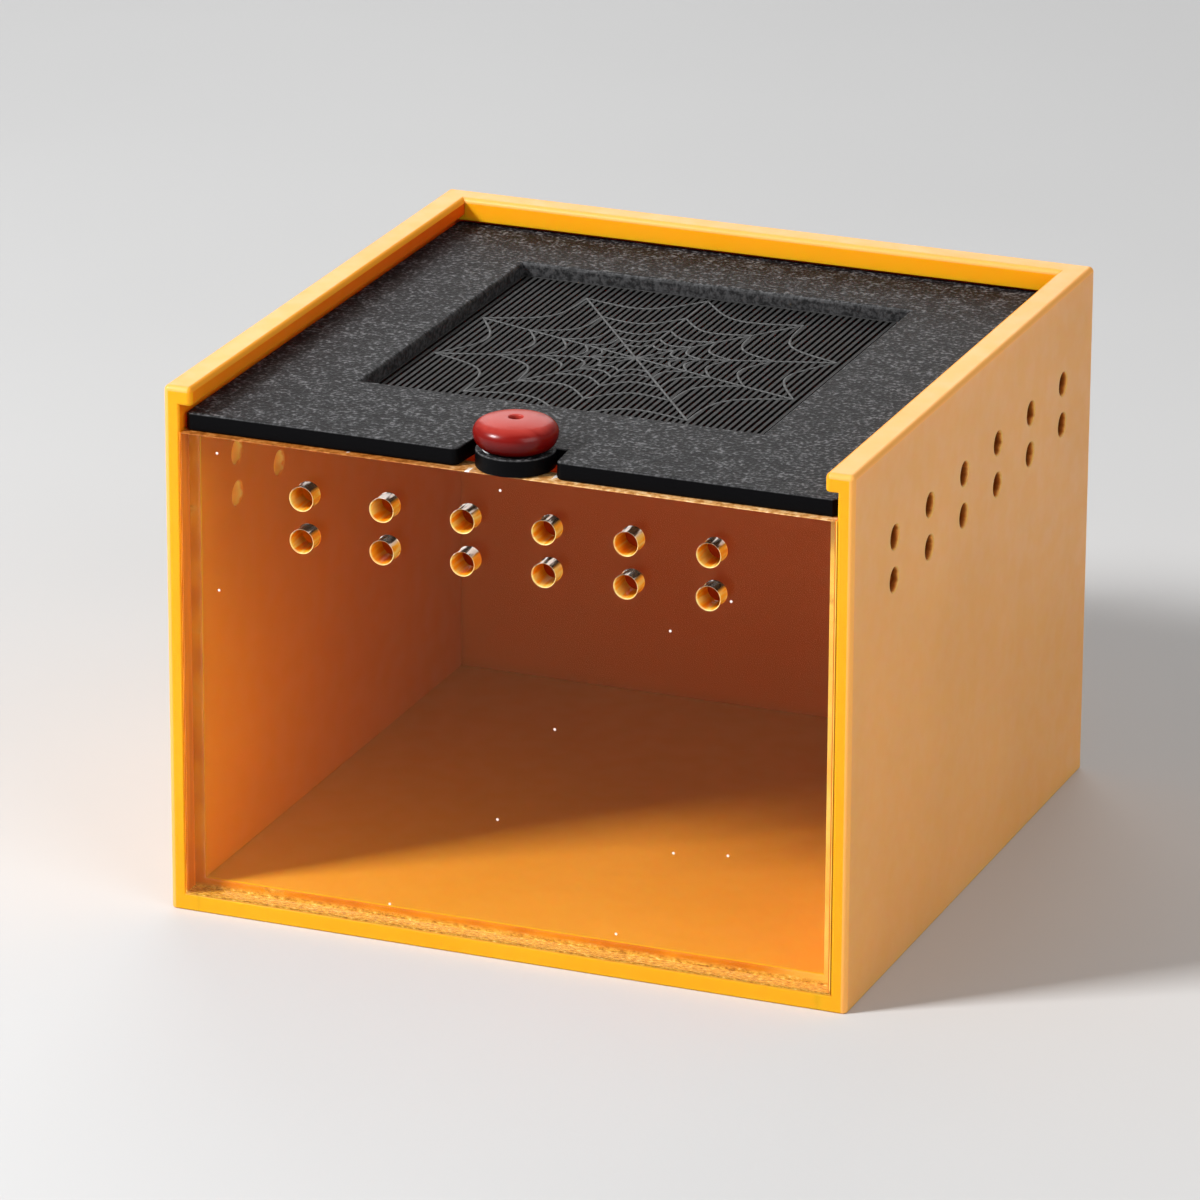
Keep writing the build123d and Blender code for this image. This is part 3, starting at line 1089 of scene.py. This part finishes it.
def make_glue(material):
    """Glue under the bead, squeezed out unevenly round its foot."""
    low, high = glue_box
    radius = (high.x - low.x) / 2
    steps, rings = 96, 7
    inner_share = 0.72
    swell = 1.9
    bm = bmesh.new()
    centre = Vector((0, tab_centre, 0))
    grid = []
    for ring in range(rings):
        share = ring / (rings - 1)
        grid.append([])
        for step in range(steps):
            angle = 2 * pi * step / steps
            way = Vector((cos(angle), sin(angle), 0))
            spread = 0.8 + 0.25 * noise.noise(way * 1.7) + 0.12 * noise.noise(way * 5)
            out = radius * (inner_share + (1 - inner_share) * spread * share)
            height = low.z + (high.z - low.z) * swell * (1 - share**2)
            grid[-1].append(bm.verts.new(centre + way * out + Vector((0, 0, height))))
    for inner, outer in zip(grid, grid[1:]):
        for step in range(steps):
            after = (step + 1) % steps
            bm.faces.new((inner[step], outer[step], outer[after], inner[after]))
    bm.faces.new(grid[0])
    bm.faces.new(list(reversed(grid[-1])))
    glue = piece_of("knob_glue_skirt", bm)
    glue.data.shade_smooth()
    glue.data.set_sharp_from_angle(angle=radians(40))
    dress(glue, [material], "lid", "clear_glue", "knob_glue")


# Stage


def make_stage(material):
    """A wide pale floor."""
    far = 6
    corners = ((-far, -far), (far, -far), (far, far), (-far, far))
    bm = bmesh.new()
    bm.faces.new([bm.verts.new((x, y, 0)) for x, y in corners])
    ground = piece_of("studio_floor", bm)
    ground.data.materials.append(material)


def softbox(name, azimuth, elevation, distance, size, power):
    """A square white area lamp that faces the box from an azimuth and elevation, in degrees."""
    lamp = bpy.data.lights.new(name, "AREA")
    lamp.shape = "SQUARE"
    lamp.size = size
    lamp.energy = power
    holder = bpy.data.objects.new(name, lamp)
    around, up = radians(azimuth), radians(elevation)
    back = Vector((sin(around) * cos(up), -cos(around) * cos(up), sin(up)))
    target = Vector((0, 0, case_height / 2))
    holder.location = target + back * distance
    holder.rotation_mode = "QUATERNION"
    holder.rotation_quaternion = (-back).to_track_quat("-Z", "Y")
    bpy.context.scene.collection.objects.link(holder)


def make_world(strength):
    """Even pale surroundings."""
    world = bpy.data.worlds.new("studio")
    world.use_nodes = True
    background = world.node_tree.nodes["Background"]
    background.inputs["Color"].default_value = (1, 1, 1, 1)
    background.inputs["Strength"].default_value = strength
    bpy.context.scene.world = world


def make_camera():
    """The camera, at the photograph's place and angle."""
    place = Vector((442.65, -1125.71, 482.30)) * mm
    yaw, pitch, roll = radians(-21.776), radians(-19.966), radians(0.2513)
    data = bpy.data.cameras.new("camera")
    data.sensor_width = 36
    data.lens = 228.01
    data.clip_start = 0.05
    data.clip_end = 20
    camera = bpy.data.objects.new("camera", data)
    ahead = Vector((sin(yaw) * cos(pitch), cos(yaw) * cos(pitch), sin(pitch)))
    right = ahead.cross(Vector((0, 0, 1))).normalized()
    up = right.cross(ahead)
    right, up = cos(roll) * right + sin(roll) * up, cos(roll) * up - sin(roll) * right
    camera.matrix_world = Matrix((
        (right.x, up.x, -ahead.x, place.x),
        (right.y, up.y, -ahead.y, place.y),
        (right.z, up.z, -ahead.z, place.z),
        (0, 0, 0, 1),
    ))
    bpy.context.scene.collection.objects.link(camera)
    bpy.context.scene.camera = camera


# The outer faces' copy has a paler base: painted sheen.
outer_sheen_side = orange_acrylic("orange_outer_sheen_look", (0.82, 0.375, 0.085), (0.88, 0.41, 0.10), 0.5)
# The inner walls' copy has a darker, more saturated base, painted shade, and both inside copies darken
# further towards the back, painted shade too.
wall_inside_shaded = orange_acrylic(
    "orange_wall_shade_look", (0.84, 0.235, 0.003), (0.90, 0.265, 0.005), 0.15, painted_back_shade=(0.70, 0.085, 0.002))
floor_inside_shaded = orange_acrylic(
    "orange_floor_shade_look", (0.80, 0.31, 0.02), (0.85, 0.34, 0.03), 0.25, painted_back_shade=(0.66, 0.19, 0.012))
# The top rims' copy has a paler base: painted sheen.
rim_sheen_side = orange_acrylic(
    "orange_rim_sheen_look", (0.93, 0.44, 0.085), (0.97, 0.47, 0.10), 0.35, depth=0.2)
# The outer roundings' copy has a paler base: a painted highlight.
corner_highlight_side = orange_acrylic(
    "orange_corner_highlight_look", (0.95, 0.42, 0.085), (0.98, 0.45, 0.10), 0.25, depth=0.1)
turn_in_side = orange_acrylic(
    "orange_turn_in_look", (0.92, 0.34, 0.02), (0.95, 0.37, 0.03), 0.03, depth=0.1)
cut_side = orange_acrylic("orange_edge_look", (0.88, 0.365, 0.004), (0.93, 0.405, 0.008), 0.2)
make_walls(cut_side, outer_sheen_side, wall_inside_shaded, rim_sheen_side, corner_highlight_side, turn_in_side, side_bore())
make_floor(cut_side, outer_sheen_side, floor_inside_shaded)
cement_look = golden_cement()
make_window(clear_acrylic(), bore_wall(), cut_edge(), seated_edge(), cement_look)
make_cement(cement_look)
make_lid(black_plastic("black_plastic_look", 0.0), black_plastic("vent_wall_look", 0.45))
make_web(slat_plastic("web_line_look", 0.115))
make_bead(red_bead())
make_glue(clear_glue())
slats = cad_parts["vent_slats"]
slats.data.materials.clear()
slats.data.materials.append(slat_plastic("black_slats_look", 0.047))

make_stage(pale_floor())
softbox("key_light", -48, 38, 1.2, 0.22, 18)
softbox("fill_light", 60, 25, 1.6, 1.0, 9)
softbox("back_light", 202, 26, 1.6, 1.0, 5.6)
make_world(0.3)
make_camera()
bpy.context.scene.view_settings.view_transform = "Standard"
